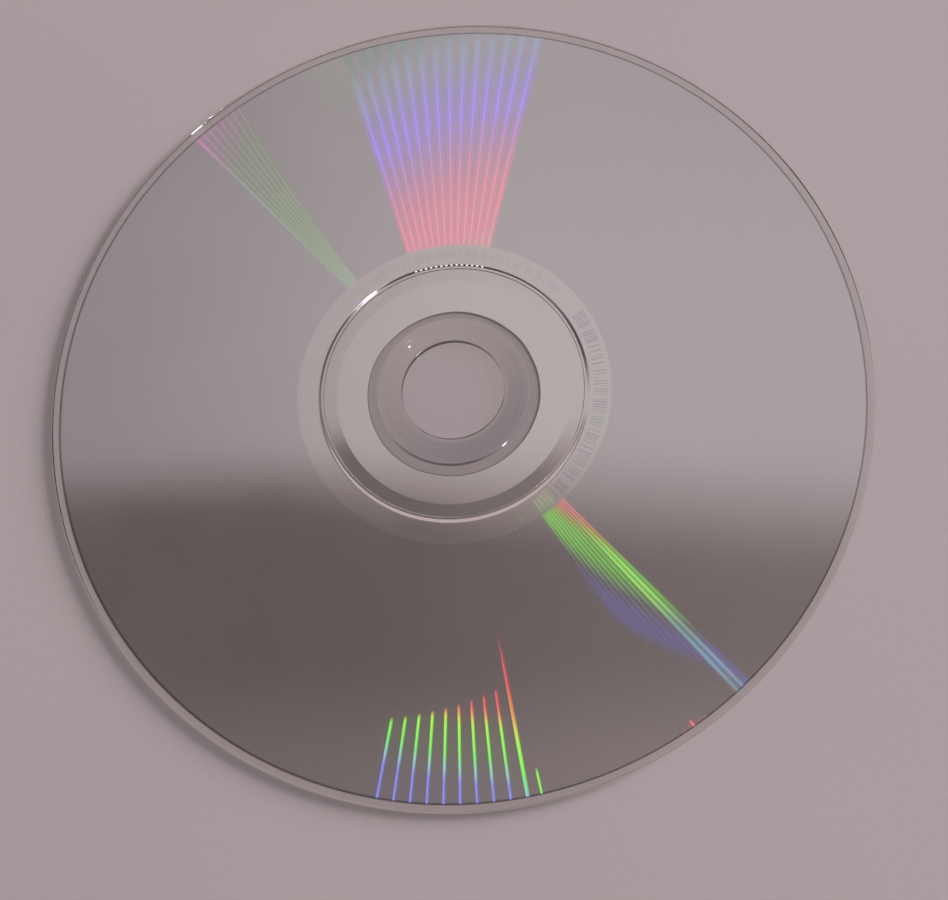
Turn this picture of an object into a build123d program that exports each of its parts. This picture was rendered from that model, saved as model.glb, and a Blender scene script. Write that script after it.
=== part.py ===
"""A pressed 120 mm compact disc, lying with its read side up.

The disc is three pieces bonded face to face: a clear moulded polycarbonate
disc, the aluminium film on its underside, and the white print over the film.

The frame is in millimetres. +Z is up, out of the read side, and the origin is
on the axis of the centre hole, in the plane of the printed face underneath.
"""

from build123d import *
import os

os.makedirs("parts", exist_ok=True)

# Clear disc
disc_radius = 60.0
disc_thickness = 1.2
hole_radius = 7.5
rim_chamfer = 0.15
bore_chamfer = 0.1

# Draft of the steep walls and of the groove's gentle outer wall
steep_draft = 45.0
gentle_draft = 78.0

# Shallow recess round the hole in the read side
read_recess_width = 2.5
read_recess_depth = 0.1

# Boss round the hole, which stands down from the underside to the print's face
boss_width = 3.75

# Dish in the underside round the boss: flat, then sloping down to the groove
dish_radius = 17.2
dish_slope_width = 1.85
dish_depth = 0.04

# Ring groove in the underside where the dish ends, steep on its inner side
groove_width = 0.9
groove_depth = 0.1

# Aluminium film. Its inner edge is a little off centre, and its outer edge
# leaves a narrow rim of the disc clear
film_thickness = 0.02
film_inner_radius = 12.65
clear_rim_width = 1.0

# White print, which laps over the film's inner edge
print_thickness = 0.03
print_lap = 0.15
print_border = 0.6
coat_shift = 0.45

# Circles and levels that follow from the sizes above
read_recess_radius = hole_radius + read_recess_width
boss_radius = hole_radius + boss_width
groove_start = dish_radius + dish_slope_width
groove_radius = groove_start + groove_width / 2
film_outer_radius = disc_radius - clear_rim_width
print_inner_radius = film_inner_radius - print_lap
print_outer_radius = film_outer_radius - print_border - coat_shift
coat_centre = (0.0, -coat_shift)
film_level = print_thickness
underside_level = film_level + film_thickness


def dish(level):
    """The dish's section, above the given height of the land outside it."""
    with BuildSketch(Plane.XZ) as section:
        with BuildLine():
            Polyline(
                (hole_radius, level),
                (hole_radius, level + dish_depth),
                (dish_radius, level + dish_depth),
                (groove_start, level),
                close=True,
            )
        make_face()
    return section.sketch


def groove(level):
    """The ring groove's section, narrowing upwards from its mouth at the given height."""
    with BuildSketch(Plane.XZ) as section:
        with Locations((groove_radius, level)):
            Trapezoid(
                groove_width,
                groove_depth,
                90 - steep_draft,
                90 - gentle_draft,
                align=(Align.CENTER, Align.MIN),
            )
    return section.sketch


# Clear disc: a flat disc with the dish and the groove turned into its
# underside, the boss in the dish, and the recess and the hole cut last
with BuildPart() as polycarbonate_disc:
    with BuildSketch(Plane.XY.offset(underside_level)):
        Circle(disc_radius)
        Circle(hole_radius, mode=Mode.SUBTRACT)
    extrude(amount=disc_thickness - underside_level)
    revolve(dish(underside_level), axis=Axis.Z, mode=Mode.SUBTRACT)
    revolve(groove(underside_level), axis=Axis.Z, mode=Mode.SUBTRACT)

    with BuildSketch(Plane.XY):
        Circle(boss_radius)
    extrude(amount=underside_level + dish_depth, taper=-steep_draft)

    with BuildSketch(Plane.XY.offset(disc_thickness)):
        Circle(read_recess_radius)
    extrude(amount=-read_recess_depth, taper=steep_draft, mode=Mode.SUBTRACT)

    with BuildSketch(Plane.XY):
        Circle(hole_radius)
    extrude(amount=disc_thickness, mode=Mode.SUBTRACT)

    circles = polycarbonate_disc.edges().filter_by(GeomType.CIRCLE)
    chamfer(circles.group_by(SortBy.RADIUS)[0], bore_chamfer)
    chamfer(circles.group_by(SortBy.RADIUS)[-1], rim_chamfer)
polycarbonate_disc.part.label = "polycarbonate_disc"


# Aluminium film: one even coat that follows the dish and the groove
with BuildPart() as aluminium_film:
    with BuildSketch(Plane.XY.offset(film_level)):
        Circle(film_outer_radius)
    extrude(amount=film_thickness)
    for section in (dish, groove):
        revolve(section(underside_level), axis=Axis.Z)
        revolve(section(film_level), axis=Axis.Z, mode=Mode.SUBTRACT)

    with BuildSketch(Plane.XY):
        with Locations(coat_centre):
            Circle(film_inner_radius)
    extrude(amount=disc_thickness, mode=Mode.SUBTRACT)
aluminium_film.part.label = "aluminium_film"


# White print: it follows the film, and its lap round the film's inner edge
# reaches up to the clear plastic
with BuildPart() as white_print:
    with BuildSketch(Plane.XY):
        with Locations(coat_centre):
            Circle(print_outer_radius)
    extrude(amount=print_thickness)
    for section in (dish, groove):
        revolve(section(film_level), axis=Axis.Z)
        revolve(section(0.0), axis=Axis.Z, mode=Mode.SUBTRACT)

    with BuildSketch(Plane.XY.offset(film_level + dish_depth)):
        with Locations(coat_centre):
            Circle(film_inner_radius)
    extrude(amount=film_thickness)

    with BuildSketch(Plane.XY):
        with Locations(coat_centre):
            Circle(print_inner_radius)
    extrude(amount=disc_thickness, mode=Mode.SUBTRACT)
white_print.part.label = "white_print"


pieces = [polycarbonate_disc, aluminium_film, white_print]
for piece in pieces:
    export_step(piece.part, f"parts/{piece.part.label}.step")
    print(f"{piece.part.label}: {piece.part.volume:.1f} cubic mm")

bore_mouth = disc_thickness - read_recess_depth - bore_chamfer
print(f"straight wall of the hole: {bore_mouth - bore_chamfer:.2f} mm, from z {bore_chamfer:.2f}")
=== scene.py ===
# %% [markdown]
# # A compact disc, read side up
#
# This lesson dresses a pressed 120 mm disc: a clear moulded disc, the mirror film on its underside and
# the pale ink under the film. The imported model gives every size. Each piece is turned again here as a
# finer mesh, because a mirror and clear plastic show every facet, and then it gets its finish.

# %% Load the frame
import math

import bmesh
import bpy
from mathutils import Matrix, Vector


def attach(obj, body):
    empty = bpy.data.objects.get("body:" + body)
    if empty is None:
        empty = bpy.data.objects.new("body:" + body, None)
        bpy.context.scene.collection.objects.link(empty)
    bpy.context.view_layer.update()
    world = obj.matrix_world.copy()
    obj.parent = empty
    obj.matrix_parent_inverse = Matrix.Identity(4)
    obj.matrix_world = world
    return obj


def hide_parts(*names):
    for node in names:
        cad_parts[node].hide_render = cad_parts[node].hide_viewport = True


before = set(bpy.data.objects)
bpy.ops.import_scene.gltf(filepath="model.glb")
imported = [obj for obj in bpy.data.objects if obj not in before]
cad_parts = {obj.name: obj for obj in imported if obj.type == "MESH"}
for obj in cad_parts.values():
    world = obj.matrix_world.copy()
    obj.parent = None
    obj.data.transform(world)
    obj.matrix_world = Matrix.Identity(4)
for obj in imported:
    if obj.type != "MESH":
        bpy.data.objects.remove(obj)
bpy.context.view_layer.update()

MM = 0.001

# %% [markdown]
# ## Sizes from the frame
#
# Every edge of a turned piece is a circle, so a node's mesh holds only a few pairs of radius and height.
# Reading those pairs gives the whole section of the solid, and nothing has to be typed in again. Only the
# coats' own edges are a little off centre, and their centre is read from how far they reach along Y.

# %% Read the circles of each node
CLEAR, FILM, PRINT = "polycarbonate_disc", "aluminium_film", "white_print"
SAME_LEVEL = 0.005
SAME_RADIUS = 0.01


def circles(node):
    """Every circle that a node's corners lie on, as (height, radius) in mm, lowest first."""
    points = [vertex.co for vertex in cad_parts[node].data.vertices]
    return sorted({(round(p.z / MM, 2), round(math.hypot(p.x, p.y) / MM, 2)) for p in points})


def radii_at(node, height):
    """The radii of a node's circles at one height, smallest first."""
    return [radius for level, radius in circles(node) if abs(level - height) < SAME_LEVEL]


def levels_of(node):
    """The heights at which a node has circles, lowest first."""
    return sorted({level for level, radius in circles(node)})


def middle_along_y(node):
    """The Y in mm that lies midway between a node's two ends."""
    along = [vertex.co.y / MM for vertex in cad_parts[node].data.vertices]
    return round((max(along) + min(along)) / 2, 3)


def reach_from(node, middle):
    """The nearest and the farthest of a node's corners from the upright line at Y = middle, in mm."""
    points = [vertex.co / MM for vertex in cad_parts[node].data.vertices]
    distances = [math.hypot(p.x, p.y - middle) for p in points]
    return round(min(distances), 3), round(max(distances), 3)


film_base, film_top, dish_base, dish_top, crown_base, crown_top = levels_of(FILM)
film_thickness = film_top - film_base
dish_rise = dish_top - film_top
crown_rise = crown_top - film_top
groove_inner, groove_outer, film_outer = radii_at(FILM, film_top)
crown_inner, crown_outer = radii_at(FILM, crown_top)
boss_chamfer, boss_radius = radii_at(CLEAR, 0.0)
boss_foot, dish_radius = radii_at(CLEAR, dish_top)
disc_radius = max(radius for level, radius in circles(CLEAR))
hole_radius = min(radius for level, radius in circles(CLEAR))
bore_levels = [level for level, radius in circles(CLEAR) if radius < hole_radius + SAME_RADIUS]
bore_floor, bore_mouth = bore_levels[0], bore_levels[-1]
disc_top = levels_of(CLEAR)[-1]
recess_outer = radii_at(CLEAR, disc_top)[0]
recess_floor = levels_of(CLEAR)[-2]
recess_chamfer, recess_inner = radii_at(CLEAR, recess_floor)
coat_drift = middle_along_y(PRINT)
film_inner = reach_from(FILM, coat_drift)[0]
print_inner, print_outer = reach_from(PRINT, coat_drift)
print("film", film_inner, "to", film_outer, "print", print_inner, "to", print_outer, "drift", coat_drift)
print("boss", boss_radius, boss_foot, "dish", dish_radius, "up", round(dish_rise, 3))
print("groove", groove_inner, crown_inner, crown_outer, groove_outer, "up", round(crown_rise, 3))
print("hole from", bore_floor, "to", bore_mouth)
print("recess", recess_inner, "to", recess_outer, "at", recess_floor)

# %% [markdown]
# ## Camera
#
# The disc lies flat and the camera looks down on it from a little in front and to the right. The place
# and the lens were worked out from the ellipses that the rim and the hole draw in the picture.

# %% Camera
IMAGE_WIDTH = 948
FOCAL_PIXELS = 1558.1
SENSOR_WIDTH = 36.0
camera_place = Vector((0.02564, -0.07408, 0.21349))
camera_right = Vector((0.99443, 0.0, -0.10540))
camera_up = Vector((0.03055, 0.95707, 0.28825))
camera_back = camera_right.cross(camera_up)

camera_data = bpy.data.cameras.new("camera")
camera_data.sensor_width = SENSOR_WIDTH
camera_data.lens = SENSOR_WIDTH * FOCAL_PIXELS / IMAGE_WIDTH
camera_data.clip_start = 0.01
camera = bpy.data.objects.new("camera", camera_data)
turn = Matrix((camera_right, camera_up, camera_back)).transposed()
camera.matrix_world = Matrix.Translation(camera_place) @ turn.to_4x4()
bpy.context.scene.collection.objects.link(camera)
bpy.context.scene.camera = camera
bpy.context.scene.view_settings.view_transform = "Standard"
print("lens", round(camera_data.lens, 2), "mm, camera", round(camera_place.length, 3), "m from the disc")

# %% [markdown]
# ## Small helpers for node trees
#
# A material is a graph, and a graph built line by line is hard to read. These helpers add a node and feed
# its inputs in one line, so that a finish reads like the formula that it is.


# %% Numbers
def add(tree, kind, inputs=None, **settings):
    """Adds a node. Inputs are given by name or number, as a value or as another node's output."""
    node = tree.nodes.new(kind)
    for key, value in settings.items():
        setattr(node, key, value)
    for key, value in (inputs or {}).items():
        if isinstance(value, bpy.types.NodeSocket):
            tree.links.new(value, node.inputs[key])
        else:
            node.inputs[key].default_value = value
    return node


def maths(tree, operation, a, b=0.0, c=0.0):
    """One step of arithmetic on numbers or outputs."""
    return add(tree, "ShaderNodeMath", {0: a, 1: b, 2: c}, operation=operation).outputs[0]


def product(tree, first, *others):
    """Several numbers or outputs, multiplied."""
    for other in others:
        first = maths(tree, "MULTIPLY", first, other)
    return first


def length_of(tree, x, y):
    """The length of a flat step of x and y."""
    return maths(tree, "SQRT", maths(tree, "ADD", product(tree, x, x), product(tree, y, y)))


def rise(tree, value, start, end, low=0.0, high=1.0):
    """Low before start, high after end, and smooth between them."""
    limits = {"Value": value, "From Min": start, "From Max": end, "To Min": low, "To Max": high}
    return add(tree, "ShaderNodeMapRange", limits, interpolation_type="SMOOTHSTEP").outputs[0]


def between(tree, share, first, second):
    """A number between two numbers."""
    return add(tree, "ShaderNodeMix", {0: share, 2: first, 3: second}, data_type="FLOAT").outputs[0]


# %% Colours
BLACK = (0.0, 0.0, 0.0, 1.0)
WHITE = (1.0, 1.0, 1.0, 1.0)


def mixed(tree, way, share, first, second):
    """Two colours mixed in one of the ways of the Mix node."""
    colours = {0: share, 6: first, 7: second}
    return add(tree, "ShaderNodeMix", colours, data_type="RGBA", blend_type=way).outputs[2]


def blend(tree, share, first, second):
    """A colour between two colours."""
    return mixed(tree, "MIX", share, first, second)


def lighter(tree, colour, amount, added=WHITE):
    """A colour with the given amount of another light added."""
    return mixed(tree, "ADD", amount, colour, added)


def darker(tree, colour, share, by):
    """A colour that is multiplied by another, or by a number, where the share is full."""
    return mixed(tree, "MULTIPLY", share, colour, by)


def shade(red, green, blue):
    """A linear colour from the three 0 to 255 values that a paint program shows."""
    parts = [c / 255 for c in (red, green, blue)]
    linear = [c / 12.92 if c <= 0.04045 else ((c + 0.055) / 1.055) ** 2.4 for c in parts]
    return (*linear, 1.0)


def new_material(name):
    """An empty material with its output node."""
    material = bpy.data.materials.new(name)
    material.use_nodes = True
    material.node_tree.nodes.clear()
    output = add(material.node_tree, "ShaderNodeOutputMaterial")
    return material, material.node_tree, output


# %% [markdown]
# ## Coordinates of a turned thing
#
# Almost everything on a disc depends on two numbers: how far a point is from the axis and which way round
# it lies. Both come from Object coordinates, which stay put when the camera moves.


# %% Polar coordinates
def place_of(tree):
    """The place on the piece, in metres."""
    return add(tree, "ShaderNodeTexCoord").outputs["Object"]


def polar(tree):
    """Radius in mm and angle in degrees from 0 to 360, anticlockwise from +X."""
    parts = add(tree, "ShaderNodeSeparateXYZ", {0: place_of(tree)}).outputs
    radius = product(tree, length_of(tree, parts[0], parts[1]), 1 / MM)
    turned = maths(tree, "DEGREES", maths(tree, "ARCTAN2", parts[1], parts[0]))
    return radius, maths(tree, "FLOORED_MODULO", turned, 360.0)


def height_of(tree):
    """Height in mm above the printed face that the disc lies on."""
    return product(tree, add(tree, "ShaderNodeSeparateXYZ", {0: place_of(tree)}).outputs[2], 1 / MM)


def towards(tree, angle, compass):
    """How far round a point lies towards a compass angle, from 1 on that side to -1 on the other."""
    return maths(tree, "COSINE", maths(tree, "RADIANS", maths(tree, "SUBTRACT", angle, compass)))


def mottle(tree, scale, detail):
    """An even noise that is fixed to the piece."""
    return add(tree, "ShaderNodeTexNoise", {
        "Vector": place_of(tree), "Scale": scale, "Detail": detail,
    }).outputs[0]


# %% [markdown]
# ## Turning a section
#
# Each piece is one closed section carried round the axis, as a lathe or a mould gives it. A Geometry Nodes
# tree does it: the section becomes a curve, and Curve to Mesh sweeps it round a circle. A coat also has an
# edge that is a little off centre and wanders, so points that carry the attribute "edge" are moved to the
# side and by a fixed noise.

# %% The turning tree
PATH_RADIUS = 0.03
SEGMENTS = 360
WAVE_SCALE = 120.0


def turning_tree():
    """A tree that turns the section it is given about the Z axis."""
    tree = bpy.data.node_groups.new("turn a section", "GeometryNodeTree")
    face = tree.interface
    face.new_socket("Section", in_out="INPUT", socket_type="NodeSocketGeometry")
    face.new_socket("Segments", in_out="INPUT", socket_type="NodeSocketInt")
    face.new_socket("Edge Shift", in_out="INPUT", socket_type="NodeSocketVector")
    face.new_socket("Edge Waves", in_out="INPUT", socket_type="NodeSocketFloat")
    face.new_socket("Material", in_out="INPUT", socket_type="NodeSocketMaterial")
    face.new_socket("Piece", in_out="OUTPUT", socket_type="NodeSocketGeometry")
    given = add(tree, "NodeGroupInput").outputs

    outline = add(tree, "GeometryNodeMeshToCurve", {"Mesh": given["Section"]})
    profile = add(tree, "GeometryNodeTransform", {
        "Geometry": outline.outputs[0],
        "Translation": (-PATH_RADIUS, 0.0, 0.0),
        "Rotation": (math.pi / 2, 0.0, 0.0),
    })
    circle = add(tree, "GeometryNodeCurvePrimitiveCircle", {
        "Resolution": given["Segments"],
        "Radius": PATH_RADIUS,
    })
    path = add(tree, "GeometryNodeSetCurveNormal", {"Curve": circle.outputs[0]}, mode="Z_UP")
    inside_out = add(tree, "GeometryNodeCurveToMesh", {
        "Curve": path.outputs[0],
        "Profile Curve": profile.outputs[0],
    })
    swept = add(tree, "GeometryNodeFlipFaces", {"Mesh": inside_out.outputs[0]})

    place = add(tree, "GeometryNodeInputPosition").outputs[0]
    flat = add(tree, "ShaderNodeVectorMath", {0: place, 1: (1.0, 1.0, 0.0)}, operation="MULTIPLY")
    outward = add(tree, "ShaderNodeVectorMath", {0: flat.outputs[0]}, operation="NORMALIZE")
    noise = add(tree, "ShaderNodeTexNoise", {
        "Vector": place, "Scale": WAVE_SCALE, "Detail": 1.0, "Roughness": 0.4,
    })
    swing = maths(tree, "MULTIPLY", maths(tree, "SUBTRACT", noise.outputs[0], 0.5), given["Edge Waves"])
    wave = add(tree, "ShaderNodeVectorMath", {0: outward.outputs[0], "Scale": swing}, operation="SCALE")
    move = add(tree, "ShaderNodeVectorMath", {0: wave.outputs[0], 1: given["Edge Shift"]}, operation="ADD")
    weight = add(tree, "GeometryNodeInputNamedAttribute", {"Name": "edge"}, data_type="FLOAT")
    weighed = {0: move.outputs[0], "Scale": weight.outputs[0]}
    offset = add(tree, "ShaderNodeVectorMath", weighed, operation="SCALE")
    moved = add(tree, "GeometryNodeSetPosition", {
        "Geometry": swept.outputs[0], "Offset": offset.outputs[0],
    })

    smooth = add(tree, "GeometryNodeSetShadeSmooth", {"Geometry": moved.outputs[0], "Shade Smooth": True})
    real = add(tree, "GeometryNodeRealizeInstances", {"Geometry": smooth.outputs[0]})
    finished = add(tree, "GeometryNodeSetMaterial", {
        "Geometry": real.outputs[0], "Material": given["Material"],
    })
    add(tree, "NodeGroupOutput", {0: finished.outputs[0]})
    return tree


TURN = turning_tree()
print("turning tree has", len(TURN.nodes), "nodes")


# %% Run a tree and keep its result as a plain mesh
def run_tree(name, mesh, tree, values):
    """Runs a Geometry Nodes tree on a mesh and returns the result as a plain object."""
    worker = bpy.data.objects.new("worker", mesh)
    bpy.context.scene.collection.objects.link(worker)
    modifier = worker.modifiers.new("tree", "NODES")
    modifier.node_group = tree
    sockets = {item.name: item.identifier for item in tree.interface.items_tree if item.in_out == "INPUT"}
    for key, value in values.items():
        modifier[sockets[key]] = value
    graph = bpy.context.evaluated_depsgraph_get()
    result = bpy.data.meshes.new_from_object(worker.evaluated_get(graph), depsgraph=graph)
    worker.modifiers.remove(modifier)
    bpy.data.objects.remove(worker)
    result.name = name
    piece = bpy.data.objects.new(name, result)
    bpy.context.scene.collection.objects.link(piece)
    return piece


def volume_of(mesh):
    """A closed mesh's volume in cubic mm. It is positive only where the faces point outward."""
    solid = bmesh.new()
    solid.from_mesh(mesh)
    volume = solid.calc_volume(signed=True) / MM ** 3
    solid.free()
    return volume


def turned_piece(name, section, material, edge_shift=(0.0, 0.0, 0.0), edge_waves=0.0):
    """Turns a section, a list of (radius, height, edge weight) in mm, into a closed piece."""
    mesh = bpy.data.meshes.new(name + " section")
    corners = [(radius * MM, 0.0, height * MM) for radius, height, weight in section]
    sides = [(i, (i + 1) % len(section)) for i in range(len(section))]
    mesh.from_pydata(corners, sides, [])
    edge = mesh.attributes.new("edge", "FLOAT", "POINT")
    edge.data.foreach_set("value", [weight for radius, height, weight in section])
    piece = run_tree(name, mesh, TURN, {
        "Segments": SEGMENTS,
        "Edge Shift": edge_shift,
        "Edge Waves": edge_waves,
        "Material": material,
    })
    print(name, len(section), "points in its section,", len(piece.data.polygons), "faces,",
          round(volume_of(piece.data), 1), "cubic mm")
    return piece


# %% [markdown]
# ## Softening corners
#
# No moulded corner is a true edge. Each corner of a section is rounded with a small arc before it is
# turned, and these arcs are what catches the thin bright and dark lines along the hub and the rim.

# %% Rounded corners
SUPPORT = 0.02
SMOOTH_TURN = math.radians(8.0)
ARC_STEPS = 3
MOST_OF_SIDE = 0.3
SUPPORT_OF_SIDE = 0.1


def softened(section, radius):
    """Rounds each corner of a closed section of (radius, height, edge weight) with a small arc.

    A support point just past both ends of an arc keeps the shading of the flats exactly flat. A point
    of a smooth curve, where the line hardly turns, stays as it is.
    """
    rounded = []
    for i, here in enumerate(section):
        corner = Vector(here)
        back = Vector(section[i - 1]) - corner
        ahead = Vector(section[(i + 1) % len(section)]) - corner
        inside = back.xy.angle(ahead.xy)
        if math.pi - inside < SMOOTH_TURN:
            rounded.append(corner)
            continue
        ends = []
        for side in (back, ahead):
            length = side.xy.length
            end = corner + side * min(radius / math.tan(inside / 2), MOST_OF_SIDE * length) / length
            ends.append((end, end + side * min(SUPPORT, SUPPORT_OF_SIDE * length) / length))
        (start, first_support), (end, last_support) = ends
        rounded.append(first_support)
        for step in range(ARC_STEPS + 1):
            t = step / ARC_STEPS
            rounded.append(start * (1 - t) ** 2 + corner * 2 * t * (1 - t) + end * t ** 2)
        rounded.append(last_support)
    return rounded


# %% [markdown]
# ## Surroundings
#
# A disc is a mirror, so the surroundings are half of its look. The world is a smooth studio: bright on the
# far side and brighter to the right, and dark overhead towards the front. The soft edge between the two
# crosses the lower half of the disc. Lower down are a dark corner and a dark band, which draw the thin dark
# lines round the hub, and under them a paler wall, which the film mirrors in low views. All of it is a
# formula of direction, so that every view agrees. Two numbers in a row are the slopes, compass angles or
# heights where a change starts and ends, and a third and fourth are the values before and after it.

# %% World
LIGHT_TINT = (1.0, 0.965, 0.975)
DARK_TINT = (1.08, 0.965, 0.93)
BACKDROP = shade(176, 164, 164)
LOWEST_HEIGHT = 0.05
BRIGHT_ACROSS = (-0.42, -0.05, 0.345, 0.53)
BRIGHT_FAR = (0.40, 0.60, 1.0, 0.90)
DARK_ACROSS = (-0.25, 0.12, 0.135, 0.205)
DARK_FRONT = (0.17, 0.08, 1.0, 1.45)
DARK_EDGE = (-0.42, -0.22, 0.247, 0.267)
DARK_EDGE_BLUR = (-0.30, 0.05, 0.026, 0.048)
DARK_EDGE_SLANT = 0.1
DARK_SIDES = (0.75, 1.1)
FRONT, FRONT_LEVEL = (0.03, -0.12), 0.55
CORNER_FROM, CORNER_TO, CORNER_SLOPE, CORNER_LEVEL = (26.0, 38.0), (70.0, 58.0), (0.62, 0.75), 0.07
BAND, BAND_LEVEL = (0.50, 0.38), 0.05
WALL, WALL_LEVEL = (0.36, 0.20), 0.27
BELOW, BELOW_LEVEL = (0.0, -0.05), 0.35


def studio_world():
    """The world as a function of direction: u and v are the slopes from straight up, to +X and +Y."""
    world = bpy.data.worlds.new("studio")
    world.use_nodes = True
    tree = world.node_tree
    tree.nodes.clear()
    direction = add(tree, "ShaderNodeTexCoord").outputs["Generated"]
    x, y, z = add(tree, "ShaderNodeSeparateXYZ", {0: direction}).outputs
    height = maths(tree, "MAXIMUM", z, LOWEST_HEIGHT)
    u = maths(tree, "DIVIDE", x, height)
    v = maths(tree, "DIVIDE", y, height)

    bright = product(tree, rise(tree, u, *BRIGHT_ACROSS), rise(tree, v, *BRIGHT_FAR))
    dark = product(tree, rise(tree, u, *DARK_ACROSS), rise(tree, v, *DARK_FRONT))
    slanted = maths(tree, "MULTIPLY_ADD", u, DARK_EDGE_SLANT, v)
    past_edge = maths(tree, "SUBTRACT", slanted, rise(tree, u, *DARK_EDGE))
    over = maths(tree, "DIVIDE", past_edge, rise(tree, u, *DARK_EDGE_BLUR))
    past_side = rise(tree, maths(tree, "ABSOLUTE", u), *DARK_SIDES)
    open_share = maths(tree, "MAXIMUM", rise(tree, over, -1.0, 1.0), past_side)
    level = between(tree, open_share, dark, bright)
    level = between(tree, rise(tree, v, *FRONT), level, FRONT_LEVEL)

    compass = maths(tree, "DEGREES", maths(tree, "ARCTAN2", v, u))
    corner = product(tree, rise(tree, compass, *CORNER_FROM), rise(tree, compass, *CORNER_TO),
                     rise(tree, length_of(tree, u, v), *CORNER_SLOPE))
    level = between(tree, corner, level, CORNER_LEVEL)
    level = between(tree, rise(tree, z, *BAND), level, BAND_LEVEL)
    level = between(tree, rise(tree, z, *WALL), level, WALL_LEVEL)
    level = between(tree, rise(tree, z, *BELOW), level, BELOW_LEVEL)
    tint = blend(tree, open_share, (*DARK_TINT, 1.0), (*LIGHT_TINT, 1.0))
    light = add(tree, "ShaderNodeBackground", {"Color": tint, "Strength": level})

    seen = add(tree, "ShaderNodeBackground", {"Color": BACKDROP, "Strength": 1.0})
    camera_ray = add(tree, "ShaderNodeLightPath").outputs["Is Camera Ray"]
    both = add(tree, "ShaderNodeMixShader", {0: camera_ray, 1: light.outputs[0], 2: seen.outputs[0]})
    add(tree, "ShaderNodeOutputWorld", {"Surface": both.outputs[0]})
    bpy.context.scene.world = world
    print("the world has", len(tree.nodes), "nodes")


studio_world()

# %% [markdown]
# ## Lamps
#
# A large soft lamp, low and to the right, lights the paper and gives the disc its soft shadow. A mirror
# would show it as a white square, so it is hidden from reflections, and the disc mirrors the world alone.
# Two small lamps do the opposite. They light nothing matt, and only their reflections show, as glints on
# the rounded edges of the rim and the hub. Each has a name, an angle above the floor and a power in watts.

# %% Lamps
KEY_DIRECTION = (0.80, 0.42, 0.36)
KEY_DISTANCE = 2.2
KEY_SIZE = 1.1
KEY_POWER = 101.0
SMALL_COMPASS = 122.2
SMALL_DISTANCE = 1.0
SMALL_SIZE = 0.06
SMALL_LAMPS = (("small lamp", 36.4, 6.0), ("low small lamp", 16.0, 1.5))


def softbox(name, direction, distance, size, power):
    """A square lamp that faces the disc from the given direction."""
    data = bpy.data.lights.new(name, "AREA")
    data.shape = "SQUARE"
    data.size = size
    data.energy = power
    data.color = LIGHT_TINT
    lamp = bpy.data.objects.new(name, data)
    place = Vector(direction).normalized() * distance
    lamp.location = place
    lamp.rotation_mode = "QUATERNION"
    lamp.rotation_quaternion = place.to_track_quat("Z", "Y")
    bpy.context.scene.collection.objects.link(lamp)
    return lamp


key = softbox("key softbox", KEY_DIRECTION, KEY_DISTANCE, KEY_SIZE, KEY_POWER)
key.visible_glossy = False
key.visible_transmission = False
for name, rise_angle, power in SMALL_LAMPS:
    up, round_about = math.radians(rise_angle), math.radians(SMALL_COMPASS)
    aim = (math.cos(up) * math.cos(round_about), math.cos(up) * math.sin(round_about), math.sin(up))
    softbox(name, aim, SMALL_DISTANCE, SMALL_SIZE, power).visible_diffuse = False

# %% [markdown]
# ## Floor
#
# The disc lies on plain pale paper. The paper is a plane a hair under the print, and a fine mottle in its
# colour and bump keeps it from looking like a flat fill. Under the clear hub the light is uneven. The
# plastic keeps a little light back, and more of it in the ring outside the boss, where it stands off the
# paper. Under the boss the paper is lighter on one side, and along the boss's near edge runs a thin dark
# line. Light bent by plastic is slow to render, so these shades are painted on the paper.

# %% Floor
FLOOR_DROP = 0.02
FLOOR_REACH = 2.5
PAPER_SHADES = (shade(158, 149, 151), shade(163, 154, 156))
CLOUD_SHADE = shade(157, 148, 151)
HUB_SHADE = 0.875
RING_SHADE = 0.82
BOSS_LIGHT_ANGLE, BOSS_LEVEL, BOSS_SWING = 122.0, 0.88, 0.18
EDGE_LINE_ANGLE, EDGE_LINE_SHADE = 262.0, 0.85


def paper():
    """Pale matt paper with a fine mottle, and painted shade and painted light under the clear hub."""
    material, tree, output = new_material("paper")
    grain = mottle(tree, 900.0, 4.0)
    cloud = mottle(tree, 14.0, 2.0)
    fine = blend(tree, grain, *PAPER_SHADES)
    colour = blend(tree, rise(tree, cloud, 0.35, 0.65, 0.0, 0.5), fine, CLOUD_SHADE)

    radius, angle = polar(tree)
    # Painted light and shade under the clear hub: lighter on one side under the boss, darker in the ring
    # outside it, and a painted shadow line along the boss's near edge.
    boss_light = maths(tree, "MULTIPLY_ADD", towards(tree, angle, BOSS_LIGHT_ANGLE), BOSS_SWING, BOSS_LEVEL)
    in_boss = product(tree, rise(tree, radius, hole_radius, hole_radius + 0.8),
                      rise(tree, radius, boss_radius, boss_radius - 0.4))
    off_paper = rise(tree, radius, boss_radius - 0.1, boss_foot + 0.1, HUB_SHADE, HUB_SHADE * RING_SHADE)
    under_hub = between(tree, rise(tree, radius, print_inner, dish_radius), off_paper, 1.0)
    edge_shadow = product(tree, rise(tree, radius, boss_radius - 0.2, boss_radius - 0.05),
                        rise(tree, radius, boss_foot + 0.2, boss_foot + 0.05),
                        rise(tree, towards(tree, angle, EDGE_LINE_ANGLE), 0.6, 1.0, 0.0, EDGE_LINE_SHADE))
    level = product(tree, between(tree, in_boss, 1.0, boss_light), under_hub,
                    maths(tree, "SUBTRACT", 1.0, edge_shadow))
    bump = add(tree, "ShaderNodeBump", {"Height": grain, "Strength": 0.08, "Distance": 0.0002})
    surface = add(tree, "ShaderNodeBsdfPrincipled", {
        "Base Color": darker(tree, colour, 1.0, level),
        "Roughness": 0.85,
        "Specular IOR Level": 0.2,
        "Normal": bump.outputs[0],
    })
    tree.links.new(surface.outputs[0], output.inputs[0])
    return material


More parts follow.
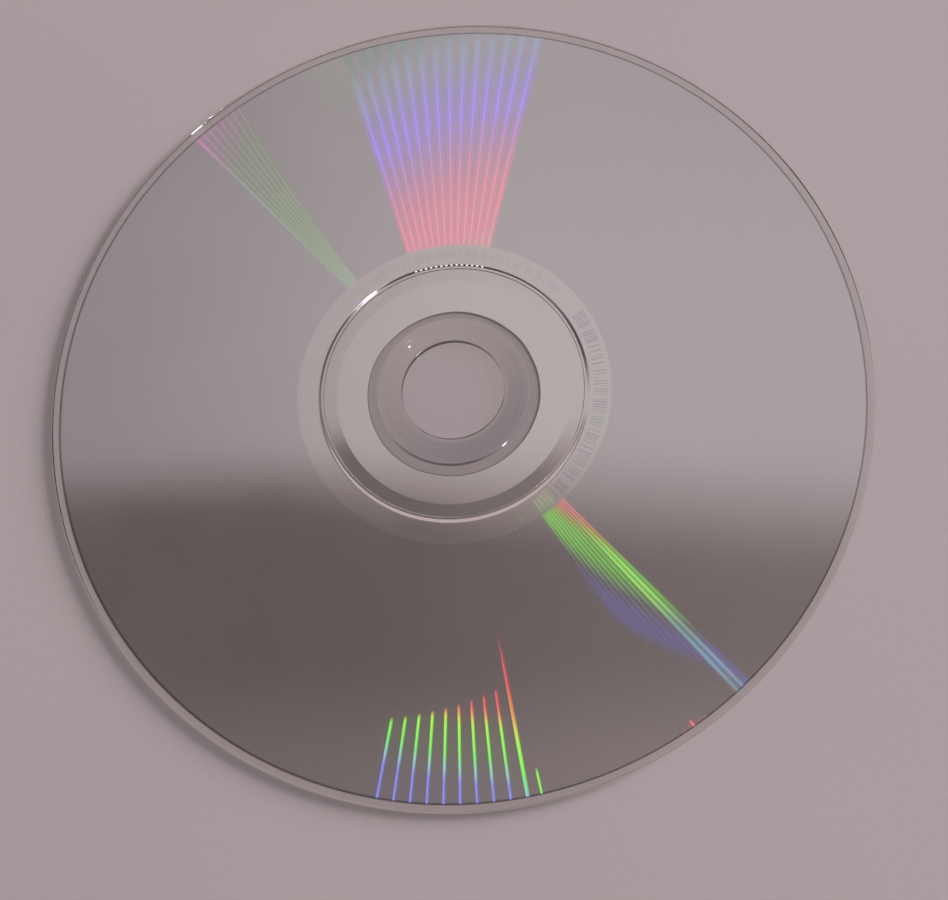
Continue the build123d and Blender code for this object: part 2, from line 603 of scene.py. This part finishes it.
floor_mesh = bpy.data.meshes.new("floor")
floor_corners = [(x * FLOOR_REACH, y * FLOOR_REACH, -FLOOR_DROP * MM)
                 for x, y in ((-1, -1), (1, -1), (1, 1), (-1, 1))]
floor_mesh.from_pydata(floor_corners, [], [(0, 1, 2, 3)])
floor_mesh.materials.append(paper())
floor = bpy.data.objects.new("floor", floor_mesh)
bpy.context.scene.collection.objects.link(floor)
print("floor", 2 * FLOOR_REACH, "m wide,", FLOOR_DROP, "mm under the print")

# %% [markdown]
# ## Rainbow fans
#
# The pits of the data area form a spiral so fine that it splits light. Each point of light draws one thin
# radial line, and its colour runs through the rainbow along the radius. The fans are the disc's most
# telling feature. They are drawn by formula: a window in angle, a comb of lines in it, a colour ramp along
# the radius, and a slant that shifts the colours from one side of the fan to the other. The light that a
# fan sends back is added to the film as a glow. It is missing from the mirror's own picture there, so each
# fan also has a colour for what it keeps of that picture.

# %% A ramp, a patch and a fan of lines
DATA_START = 23.0
DATA_END = 58.9
EDGE_BLUR = 0.1


def ramp(tree, value, stops):
    """A colour ramp through stops of (value, colour)."""
    start, end = stops[0][0], stops[-1][0]
    share = add(tree, "ShaderNodeMapRange", {"Value": value, "From Min": start, "From Max": end})
    node = add(tree, "ShaderNodeValToRGB", {"Fac": share.outputs[0]})
    elements = node.color_ramp.elements
    while len(elements) < len(stops):
        elements.new(0.5)
    for element, (position, colour) in zip(elements, stops):
        element.position = (position - start) / (end - start)
        element.color = (*colour, 1.0)
    return node.outputs[0]


def patch(tree, radius, angle, first, last, inner, outer, soft):
    """A soft-edged window in angle (degrees) and radius (mm)."""
    blur = math.degrees(soft / inner)
    return product(
        tree,
        rise(tree, angle, first - blur, first + blur),
        rise(tree, angle, last + blur, last - blur),
        rise(tree, radius, inner - soft, inner + soft),
        rise(tree, radius, outer + soft, outer - soft),
    )


def fan(tree, radius, angle, first, last, stops, lines=1, inner=DATA_START, outer=DATA_END, slant=0.0,
        narrowing=0.0, halo=(0.14, 0.14), soft=0.06, core=0.05, whiteness=0.0, glow=0.0, tip=0.0,
        fade=0.35, pale_end=0.0, cut=(0.0, 1.0, 0.0), feather=0.25, kept=(1.0, 1.0, 1.0)):
    """A fan's added light, how much it covers, and what it keeps of the mirror's own picture.

    Angles are in degrees and lengths in mm. Each line is a thin core of the given whiteness, which goes
    out before the ramp's pale_end, and a coloured halo that reaches a little to each side of it, halo[0]
    clockwise and halo[1] anticlockwise. Between the lines the glow share of the colour stays. The first
    line turns by the narrowing for each mm out, and slant and tip are how far the colours and the lines'
    inner ends shift across the fan. A cut takes some degrees off the first side, smoothly between two
    radii. Soft, fade and feather blur the lines' sides, their inner ends and the fan's first side.
    """
    steps = max(lines - 1.0, 1.0)
    past_start = maths(tree, "MAXIMUM", maths(tree, "SUBTRACT", radius, DATA_START), 0.0)
    first_line = maths(tree, "MULTIPLY_ADD", past_start, narrowing, first)
    spacing = maths(tree, "DIVIDE", maths(tree, "SUBTRACT", last, first_line), steps)
    step = maths(tree, "DIVIDE", maths(tree, "SUBTRACT", angle, first_line), spacing)
    across = maths(tree, "DIVIDE", step, steps)
    nearest = maths(tree, "MINIMUM", maths(tree, "MAXIMUM", maths(tree, "ROUND", step), 0.0), lines - 1.0)
    off = product(tree, maths(tree, "SUBTRACT", step, nearest), spacing)
    distance = product(tree, off, math.pi / 180, radius)

    comb = product(tree, rise(tree, distance, -halo[0] - soft, -halo[0] + soft),
                   rise(tree, distance, halo[1] + soft, halo[1] - soft))
    centre = rise(tree, maths(tree, "ABSOLUTE", distance), core * 1.5, core * 0.5)

    tip_radius = maths(tree, "MULTIPLY_ADD", across, tip, inner)
    lost = maths(tree, "DIVIDE", rise(tree, radius, cut[0], cut[1], 0.0, cut[2]), spacing)
    window = product(
        tree,
        rise(tree, maths(tree, "SUBTRACT", radius, tip_radius), -fade, fade),
        rise(tree, radius, outer + EDGE_BLUR, outer - EDGE_BLUR),
        rise(tree, maths(tree, "SUBTRACT", step, lost), -0.5 - feather, -0.5 + feather),
        rise(tree, step, lines - 0.25, lines - 0.75),
    )

    slid = maths(tree, "MULTIPLY_ADD", across, slant, radius)
    cover = product(tree, window, maths(tree, "MULTIPLY_ADD", comb, 1.0 - glow, glow))
    light = blend(tree, cover, BLACK, ramp(tree, slid, stops))
    pale = product(tree, centre, window, whiteness)
    if pale_end > 0.0:
        pale = product(tree, pale, rise(tree, slid, pale_end, pale_end - 10.0))
    kept = ramp(tree, slid, kept) if isinstance(kept, list) else (*kept, 1.0)
    return lighter(tree, light, pale), cover, kept


# %% [markdown]
# The far half of the disc has a wide fan, red near the hub and violet further out, and a narrow greenish
# one beside it, which hardly shines but tints what the mirror shows. A few faint lines stand at the wide
# fan's side, near the rim.

# %% Fans on the far side
SALMON, ROSE = (0.28, 0.05, 0.05), (0.37, 0.0, 0.06)
MAUVE, VIOLET, PALE_BLUE = (0.17, 0.0, 0.23), (0.11, 0.0, 0.44), (0.08, 0.06, 0.22)

FAR_FANS = {
    "wide fan": dict(
        first=77.2, last=106.8, lines=14, slant=7.0,
        halo=(0.50, 0.50), soft=0.46, core=0.08, whiteness=0.06, glow=0.22, pale_end=61.0,
        stops=[(23.0, SALMON), (27.0, ROSE), (33.0, ROSE), (38.0, (0.27, 0.0, 0.10)), (43.0, MAUVE),
               (47.5, VIOLET), (52.0, (0.09, 0.01, 0.36)), (56.0, PALE_BLUE), (59.0, (0.07, 0.08, 0.15)),
               (63.0, (0.02, 0.03, 0.03)), (66.0, (0.0, 0.02, 0.0))],
        kept=[(23.0, (0.88, 0.88, 0.88)), (38.0, (0.88, 0.90, 0.88)), (46.0, (0.76, 0.90, 0.92)),
              (66.0, (0.80, 0.92, 0.88))],
    ),
    "narrow fan": dict(
        first=129.4, last=133.3, lines=8, slant=4.0, narrowing=-0.111,
        halo=(0.16, 0.16), soft=0.15, core=0.10, whiteness=0.05, glow=0.4,
        stops=[(23.0, (0.0, 0.05, 0.01)), (32.0, (0.0, 0.04, 0.0)), (53.0, (0.0, 0.03, 0.0)),
               (58.0, (0.05, 0.0, 0.03)), (62.0, (0.12, 0.0, 0.08))],
        kept=[(23.0, (0.93, 1.0, 0.90)), (35.0, (0.84, 0.98, 0.76)), (52.0, (0.84, 0.98, 0.78)),
              (60.0, (0.95, 0.90, 0.95))],
    ),
    "narrow fan's last line": dict(
        first=133.3, last=134.3, inner=25.0,
        halo=(0.45, 0.35), soft=0.35, core=0.1, whiteness=0.01, fade=4.0,
        stops=[(25.0, (0.0, 0.01, 0.01)), (48.0, (0.02, 0.03, 0.05)), (54.0, (0.05, 0.01, 0.04)),
               (57.0, (0.08, 0.0, 0.06)), (59.0, (0.06, 0.0, 0.04))],
    ),
    "faint lines": dict(
        first=107.0, last=113.0, lines=8, inner=50.0,
        halo=(0.1, 0.1), soft=0.1, whiteness=0.01, glow=0.1, fade=4.0,
        stops=[(50.0, (0.01, 0.02, 0.0)), (59.0, (0.03, 0.05, 0.01))],
        kept=(0.95, 1.0, 0.93),
    ),
}

# %% [markdown]
# The near half is dark, so its fans are the strongest. A comb of separate lines runs from red or green to
# blue at the rim, with a longer line at its side. A second fan starts narrow at the hub, bulges in violet
# and ends as a bright streak. Short flecks of the same painted light continue it in the mirror band, and
# red ones lie at the rim.

# %% Fans on the near side
RED, ORANGE, YELLOW = (0.58, 0.02, 0.06), (0.66, 0.20, 0.03), (0.52, 0.56, 0.01)
LIME, GREEN, CYAN, BLUE = (0.26, 0.80, 0.0), (0.10, 0.72, 0.05), (0.18, 0.42, 0.48), (0.14, 0.12, 0.66)
LEAF, MOSS, DUSK = (0.10, 0.32, 0.04), (0.07, 0.16, 0.05), (0.03, 0.03, 0.17)
FLECK_GREEN = (0.03, 0.07, 0.0)
COMB_KEPT = (0.35, 0.6, 0.30)

NEAR_FANS = {
    "comb": dict(
        first=260.0, last=277.8, lines=9, inner=48.3, slant=-3.0, tip=-4.0,
        halo=(0.12, 0.26), core=0.09, whiteness=0.10, glow=0.02, fade=0.5,
        stops=[(40.0, RED), (43.5, RED), (44.8, ORANGE), (45.6, YELLOW), (46.6, LIME), (50.5, GREEN),
               (52.7, CYAN), (54.2, BLUE), (60.0, BLUE)],
        kept=COMB_KEPT,
    ),
    "comb's long line": dict(
        first=280.0, last=281.0, inner=38.5,
        halo=(0.16, 0.34), core=0.09, whiteness=0.10, fade=3.0,
        stops=[(38.0, (0.30, 0.0, 0.05)), (44.0, RED), (48.0, ORANGE), (50.0, YELLOW), (52.0, LIME),
               (56.0, GREEN), (59.0, CYAN)],
        kept=COMB_KEPT,
    ),
    "comb's short line": dict(
        first=281.9, last=283.0, inner=55.8,
        halo=(0.1, 0.2), core=0.06, whiteness=0.05, fade=0.6,
        stops=[(55.0, LIME), (59.0, GREEN)],
        kept=(0.5, 0.8, 0.4),
    ),
    "bulging fan": dict(
        first=303.9, last=313.0, lines=11, slant=-18.0, cut=(38.0, 58.0, 8.3), feather=1.5,
        soft=0.12, core=0.07, whiteness=0.08, glow=0.45, pale_end=38.0,
        stops=[(6.0, (0.32, 0.03, 0.04)), (11.0, (0.30, 0.06, 0.03)), (14.0, (0.18, 0.18, 0.02)),
               (18.0, LEAF), (24.0, LEAF), (28.0, MOSS), (31.0, (0.01, 0.02, 0.03)), (35.0, DUSK),
               (44.0, (0.04, 0.04, 0.22)), (58.0, DUSK)],
        kept=[(8.0, (0.85, 0.75, 0.70)), (15.0, (0.45, 0.80, 0.25)), (26.0, (0.40, 0.80, 0.25)),
              (31.0, (0.80, 0.80, 0.85)), (60.0, (0.95, 0.90, 0.95))],
    ),
    "bright streak": dict(
        first=311.3, last=312.2, lines=2, inner=30.0,
        halo=(0.25, 0.25), soft=0.2, core=0.1, whiteness=0.04, glow=0.3, fade=6.0,
        stops=[(30.0, (0.08, 0.20, 0.01)), (42.0, (0.10, 0.26, 0.02)), (48.0, (0.03, 0.16, 0.09)),
               (54.0, (0.04, 0.16, 0.18)), (59.0, (0.03, 0.10, 0.12))],
    ),
    # Flecks of painted rainbow light that continue the bulging fan, and red ones at the rim.
    "fan light in the mirror band": dict(
        first=304.4, last=309.6, lines=4, inner=20.4, outer=22.6, soft=0.12, glow=0.3,
        stops=[(20.0, (0.12, 0.10, 0.03)), (23.0, (0.04, 0.16, 0.03))],
        kept=(0.85, 0.95, 0.80),
    ),
    "single fleck of fan light": dict(
        first=296.6, last=297.4, inner=21.2, outer=22.4, halo=(0.15, 0.15), soft=0.12,
        stops=[(21.0, FLECK_GREEN), (23.0, FLECK_GREEN)],
        kept=(0.9, 1.0, 0.85),
    ),
    "red flecks of fan light": dict(
        first=302.4, last=305.6, lines=5, inner=58.5, halo=(0.1, 0.2), soft=0.15, glow=0.2, fade=0.3,
        stops=[(57.0, (0.20, 0.0, 0.02)), (60.0, (0.16, 0.0, 0.02))],
    ),
    "longer red fleck of fan light": dict(
        first=303.8, last=304.8, inner=58.0, halo=(0.1, 0.2), soft=0.15, whiteness=0.1, fade=0.3,
        stops=[(57.0, RED), (60.0, RED)],
    ),
}
print(len(FAR_FANS) + len(NEAR_FANS), "fans and flecks of fan light")

# %% [markdown]
# ## Marks in the mirror band
#
# Inside the data area every pressed disc has a plain mirror band with fine ident marks in it. They are
# pits like the data, so they only dull and tint the film. Here they are generic bars: cells of one even
# step, each a bar or a space with a width of its own, in groups. They spell nothing.

# %% Bars
STRONG_BARS = dict(first=312.0, last=392.0, step=1.05, inner=20.5, outer=22.4, seed=11.0)
FAINT_BARS = dict(first=44.0, last=145.0, step=1.3, inner=20.9, outer=22.0, seed=47.0)
FAINT_SHARE = 0.4
BAR_LEAST, BAR_SPREAD = 0.25, 0.45
GROUP_CELLS, GROUP_FILLED = 7.0, 0.8
LEFT_OUT = 0.16
BAR_TINTS = [(0.0, (0.98, 0.74, 0.78)), (0.40, (0.80, 0.80, 0.97)), (0.47, (0.78, 0.79, 0.84)),
             (0.53, (0.78, 0.79, 0.82)), (0.60, (0.76, 0.94, 0.76)), (1.0, (0.98, 0.78, 0.72))]


def bars(tree, radius, angle, first, last, step, inner, outer, seed):
    """How much of a generic bar mark covers a point of the band. Angles run on past 360."""
    turned = maths(tree, "FLOORED_MODULO", maths(tree, "SUBTRACT", angle, first), 360.0)
    cell = maths(tree, "DIVIDE", turned, step)
    number = maths(tree, "FLOOR", cell)
    seeded = maths(tree, "ADD", number, seed)
    chance = add(tree, "ShaderNodeTexWhiteNoise", {"W": seeded}, noise_dimensions="1D").outputs["Value"]
    wide = maths(tree, "MULTIPLY_ADD", chance, BAR_SPREAD, BAR_LEAST)
    group = maths(tree, "FRACT", maths(tree, "DIVIDE", number, GROUP_CELLS))
    return product(
        tree,
        rise(tree, maths(tree, "SUBTRACT", wide, maths(tree, "FRACT", cell)), -0.08, 0.08),
        maths(tree, "LESS_THAN", group, GROUP_FILLED),
        maths(tree, "GREATER_THAN", chance, LEFT_OUT),
        patch(tree, radius, turned, 0.0, last - first, inner, outer, 0.06),
    )


# %% [markdown]
# The film itself is a thin coat of aluminium, so its material is a metal. Its data area is a shade darker
# and cooler than the plain mirror band inside it. The lamps that draw the wide fan's lines would flash once
# for each line on the far wall of the groove, and a single lamp beside them would make a long glint there.
# These flashes and the glint are painted highlights, added to the film as glow.

# %% Mirror film
DATA_METAL = (0.855, 0.815, 0.815, 1.0)
BAND_METAL = (0.98, 0.925, 0.905, 1.0)
INNER_METAL = (1.0, 0.945, 0.925, 1.0)
RIM_SHADOW_COLOUR = (0.25, 0.23, 0.23, 1.0)
BAND_START = 19.0
TINT_TURN = 9.0
GLOW_STRENGTH = 1.15
FLASHES = dict(first=77.4, last=106.6, lines=14, inner=19.62, outer=19.80, halo=(0.16, 0.16), core=0.1,
               whiteness=0.5, fade=0.08, stops=[(19.0, (1.0, 1.0, 0.75)), (20.0, (1.0, 1.0, 1.0))])
LONG_GLINT = dict(first=126.0, last=132.8, inner=19.52, outer=19.88, soft=0.1)
GLINT_TAIL = dict(first=132.6, last=134.6, inner=19.5, outer=19.85, soft=0.1)
TAIL_BLUE = (0.15, 0.12, 0.75, 1.0)


def mirror_film():
    """Aluminium seen through clear plastic, with its data area, bands, marks, rainbow fans, painted glints
    in the groove and a painted shadow along its outer edge.
    """
    material, tree, output = new_material("mirror_aluminium")
    radius, angle = polar(tree)

    colour = blend(tree, rise(tree, radius, DATA_START - 0.05, DATA_START + 0.1), BAND_METAL, DATA_METAL)
    colour = blend(tree, rise(tree, radius, BAND_START, BAND_START + 0.1), INNER_METAL, colour)
    hue = add(tree, "ShaderNodeTexNoise", {"W": maths(tree, "DIVIDE", angle, TINT_TURN), "Scale": 1.0},
              noise_dimensions="1D").outputs[0]
    tint = ramp(tree, hue, BAR_TINTS)
    colour = darker(tree, colour, bars(tree, radius, angle, **STRONG_BARS), tint)
    faint = product(tree, bars(tree, radius, angle, **FAINT_BARS), FAINT_SHARE)
    colour = darker(tree, colour, faint, tint)

    light = BLACK
    for values in (*FAR_FANS.values(), *NEAR_FANS.values()):
        added, cover, kept = fan(tree, radius, angle, **values)
        light = lighter(tree, added, 1.0, light)
        colour = darker(tree, colour, cover, kept)
    # Painted highlights: the flashes and the long glint with its blue tail on the groove's far wall.
    light = lighter(tree, light, 1.0, fan(tree, radius, angle, **FLASHES)[0])
    light = lighter(tree, light, patch(tree, radius, angle, **LONG_GLINT))
    light = lighter(tree, light, patch(tree, radius, angle, **GLINT_TAIL), TAIL_BLUE)

    # Painted shade: the film is painted dark towards its outer edge, a thin dark line at the rim.
    rim_shadow = rise(tree, radius, film_outer - 0.35, film_outer - 0.02)
    surface = add(tree, "ShaderNodeBsdfPrincipled", {
        "Base Color": blend(tree, rim_shadow, colour, RIM_SHADOW_COLOUR),
        "Metallic": 1.0,
        "Roughness": rise(tree, mottle(tree, 60.0, 3.0), 0.3, 0.7, 0.055, 0.085),
        "Emission Color": light,
        "Emission Strength": GLOW_STRENGTH,
    })
    tree.links.new(surface.outputs[0], output.inputs[0])
    return material


# %% [markdown]
# ## The underside in section
#
# The mould leaves a boss round the hole, a shallow dish round the boss and a ring groove where the dish
# ends, and the film and the ink follow them. All three pieces share one line, from the dish over the
# groove, with its steep inner and gentle outer wall, to the land. It is lifted to the height of each.

# %% Shared lines of the section
WALL_STEPS = 10
SHOULDER = 0.1
EDGE_REACH = 0.1
EDGE_WAVES = 0.5 * MM
coat_shift = (0.0, coat_drift * MM, 0.0)


def soft_wall(start, high, end, low):
    """A wall from one radius and height to another as an even S."""
    points = []
    for step in range(WALL_STEPS + 1):
        t = step / WALL_STEPS
        points.append((start + (end - start) * t, low + (high - low) * (1 + math.cos(math.pi * t)) / 2))
    return points


def under_line(level, start, end):
    """The underside's line from start in the dish to end on the land, which lies at the given level."""
    slope = dish_rise / (groove_inner - dish_radius)
    line = [
        (start, dish_rise), (dish_radius - SUPPORT, dish_rise), (dish_radius, dish_rise),
        (dish_radius + SUPPORT, dish_rise - SUPPORT * slope), (groove_inner, 0.0),
        (crown_inner, crown_rise), *soft_wall(crown_outer - SHOULDER, crown_rise, groove_outer, 0.0),
        (groove_outer + SUPPORT, 0.0), (end, 0.0),
    ]
    return [(r, level + h) for r, h in line]


def with_edge(line):
    """A coat's line as (radius, height, weight), with the weight that moves its inner edge."""
    return [(r, z, 1.0 if r < film_inner + EDGE_REACH else 0.0) for r, z in line]


# %% [markdown]
# The film is the thinnest piece that shows. Its section is the shared line, twice: once for the face that
# lies on the plastic and once, a coat lower, for the face that the ink covers.

# %% Film piece
FILM_CORNER = 0.02
upper = under_line(film_top, film_inner, film_outer)
lower = under_line(film_top - film_thickness, film_inner, film_outer)
section = softened(with_edge(lower + upper[::-1]), FILM_CORNER)
film = turned_piece("mirror_film", section, mirror_film(), coat_shift, EDGE_WAVES)
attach(film, "root")
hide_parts(FILM)

# %% [markdown]
# ## Printed coat
#
# The ink is screen printed: even, satin and a little off centre. It laps over the film's inner edge, and
# where that lap shows through the clear plastic it is painted dark, a painted shadow line along the film's
# edge.

# %% Ink
INK_SHADES = (shade(214, 206, 202), shade(220, 212, 207))
LAP_SHADOW = shade(84, 76, 76)


def white_ink():
    """Pale satin ink with a faint mottle. Its lap, where it is seen through the plastic, is painted dark as
    a painted shadow line.
    """
    material, tree, output = new_material("white_ink")
    grain = mottle(tree, 700.0, 3.0)
    edge = add(tree, "ShaderNodeAttribute", attribute_name="edge").outputs["Fac"]
    # The lap's dark colour is a painted shadow, on its upper face only.
    above_dish = rise(tree, height_of(tree), dish_base, dish_top - 0.01)
    lap = product(tree, rise(tree, edge, 0.9, 0.97), above_dish)
    bump = add(tree, "ShaderNodeBump", {"Height": grain, "Strength": 0.1, "Distance": 0.00005})
    surface = add(tree, "ShaderNodeBsdfPrincipled", {
        "Base Color": blend(tree, lap, blend(tree, grain, *INK_SHADES), LAP_SHADOW),
        "Roughness": rise(tree, grain, 0.3, 0.7, 0.38, 0.46),
        "Normal": bump.outputs[0],
    })
    tree.links.new(surface.outputs[0], output.inputs[0])
    return material


# %% [markdown]
# The ink's upper face stays a hair under the film, so that the two never share a face. Its own edge hangs
# inside the film's outer edge, and its lap rises to the plastic inside the film's inner edge.

# %% Ink piece
INK_CORNER = 0.01
INK_GAP = 0.0005
LAP_GAP = 0.01
END_OF_LINE = 1.0
print_end = print_outer - END_OF_LINE
lap_level = dish_top - INK_GAP
section = softened(with_edge([
    *under_line(0.0, print_inner, print_end),
    (print_outer, 0.0),
    (print_outer, film_base - INK_GAP),
    *under_line(film_base - INK_GAP, film_inner, print_end)[::-1],
    (film_inner - LAP_GAP, lap_level),
    (print_inner, lap_level),
]), INK_CORNER)
ink = turned_piece("printed_coat", section, white_ink(), coat_shift, EDGE_WAVES)
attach(ink, "root")
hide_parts(PRINT)

# %% [markdown]
# ## Clear plastic
#
# Polycarbonate bends light more than window glass does, so the hub's shallow steps show as thin dark and
# bright rings. Real refraction draws them for the camera. The lamps' light is let straight through to the
# ink and the paper: a Light Path switch gives shadow and diffuse rays a clear stand-in. The rim's wall on
# the large lamp's side lets the light in, and the wall on the far side keeps most of it back, which gives
# the soft shadow there. Three glints, at the rim, the recess and the boss, are too small for a lamp to
# place, so they are painted, each at its own height.

# %% Polycarbonate
PLASTIC_IOR = 1.58
PLASTIC_TINT = (0.965, 0.955, 0.96, 1.0)
STAND_IN_TINT = (0.95, 0.94, 0.93, 1.0)
SIDE_WALL = 0.3
GLINT_TINT = (1.0, 1.0, 0.95, 1.0)
GLINT_SOFT = 0.06
GLINTS = [
    (recess_floor, dict(first=131.3, last=133.5, inner=59.64, outer=59.92)),
    (recess_floor, dict(first=132.5, last=134.6, inner=9.18, outer=9.44)),
    (0.05, dict(first=309.5, last=312.5, inner=11.22, outer=11.38)),
]


def painted_glints(tree, radius, angle):
    """How strongly a point of the surface glows as one of the painted glints."""
    height = height_of(tree)
    strength = 0.0
    for level, area in GLINTS:
        window = patch(tree, radius, angle, **area, soft=GLINT_SOFT)
        off = maths(tree, "ABSOLUTE", maths(tree, "SUBTRACT", height, level))
        strength = maths(tree, "MULTIPLY_ADD", window, rise(tree, off, 0.13, 0.09), strength)
    return strength


def stand_in_colour(tree, radius, angle):
    """What the clear stand-in lets through: all of it on the two faces, and less on the rim's far wall."""
    normal = add(tree, "ShaderNodeNewGeometry").outputs["Normal"]
    upright = maths(tree, "ABSOLUTE", add(tree, "ShaderNodeSeparateXYZ", {0: normal}).outputs[2])
    flat = maths(tree, "MAXIMUM", rise(tree, upright, 0.3, 0.7), rise(tree, radius, film_outer, film_inner))
    key_angle = math.degrees(math.atan2(KEY_DIRECTION[1], KEY_DIRECTION[0]))
    wall = rise(tree, towards(tree, angle, key_angle), 0.1, -0.2, 1.0, SIDE_WALL)
    return darker(tree, STAND_IN_TINT, 1.0, between(tree, flat, wall, 1.0))


def clear_plastic():
    """Clear polycarbonate that bends what the camera sees and lets the lamps' light through."""
    material, tree, output = new_material("clear_polycarbonate")
    radius, angle = polar(tree)
    glass = add(tree, "ShaderNodeBsdfGlass", {"Color": PLASTIC_TINT, "Roughness": 0.0, "IOR": PLASTIC_IOR})
    clear = add(tree, "ShaderNodeBsdfTransparent", {"Color": stand_in_colour(tree, radius, angle)})
    path = add(tree, "ShaderNodeLightPath").outputs
    straight = maths(tree, "MAXIMUM", path["Is Shadow Ray"], path["Is Diffuse Ray"])
    plastic = add(tree, "ShaderNodeMixShader", {0: straight, 1: glass.outputs[0], 2: clear.outputs[0]})
    glow = {"Color": GLINT_TINT, "Strength": painted_glints(tree, radius, angle)}
    glints = add(tree, "ShaderNodeEmission", glow)
    surface = add(tree, "ShaderNodeAddShader", {0: plastic.outputs[0], 1: glints.outputs[0]})
    tree.links.new(surface.outputs[0], output.inputs[0])
    return material


# %% [markdown]
# ## Clear disc
#
# The disc's section goes up the hole from the boss, along the shared line of the underside, round the rim
# and back over the read side to the recess. It keeps a hair off the film, so that the mirror is seen
# through plastic and never through a shared face. The rim's two edges are quarter circles.

# %% Disc piece
PLASTIC_CORNER = 0.05
PLASTIC_GAP = 0.006
RIM_STEPS = 12
RECESS_SPREAD = 0.03
plastic_under = film_top + PLASTIC_GAP
rim_levels = [level for level, radius in circles(CLEAR) if radius > disc_radius - SAME_RADIUS]
rim_inner = radii_at(CLEAR, disc_top)[-1]
rim_round = disc_radius - rim_inner
recess_start, recess_end = recess_outer + RECESS_SPREAD, recess_inner - RECESS_SPREAD


def round_rim(height, first, last):
    """A quarter of a circle round the rim's edge, whose centre is at the given height."""
    angles = [math.radians(first + (last - first) * step / RIM_STEPS) for step in range(RIM_STEPS + 1)]
    return [(rim_inner + rim_round * math.cos(a), height + rim_round * math.sin(a)) for a in angles]


outline = [
    (hole_radius, bore_floor), (boss_chamfer, 0.0), (boss_radius, 0.0),
    *under_line(plastic_under, boss_foot, rim_inner - SUPPORT),
    *round_rim(rim_levels[0], -90.0, 0.0), *round_rim(rim_levels[-1], 0.0, 90.0),
    (rim_inner - SUPPORT, disc_top), (recess_start + SUPPORT, disc_top),
    *soft_wall(recess_start, disc_top, recess_end, recess_floor), (recess_end - SUPPORT, recess_floor),
    (recess_chamfer, recess_floor), (hole_radius, bore_mouth),
]
section = softened([(r, z, 0.0) for r, z in outline], PLASTIC_CORNER)
disc = turned_piece("clear_disc", section, clear_plastic())
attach(disc, "root")
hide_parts(CLEAR)
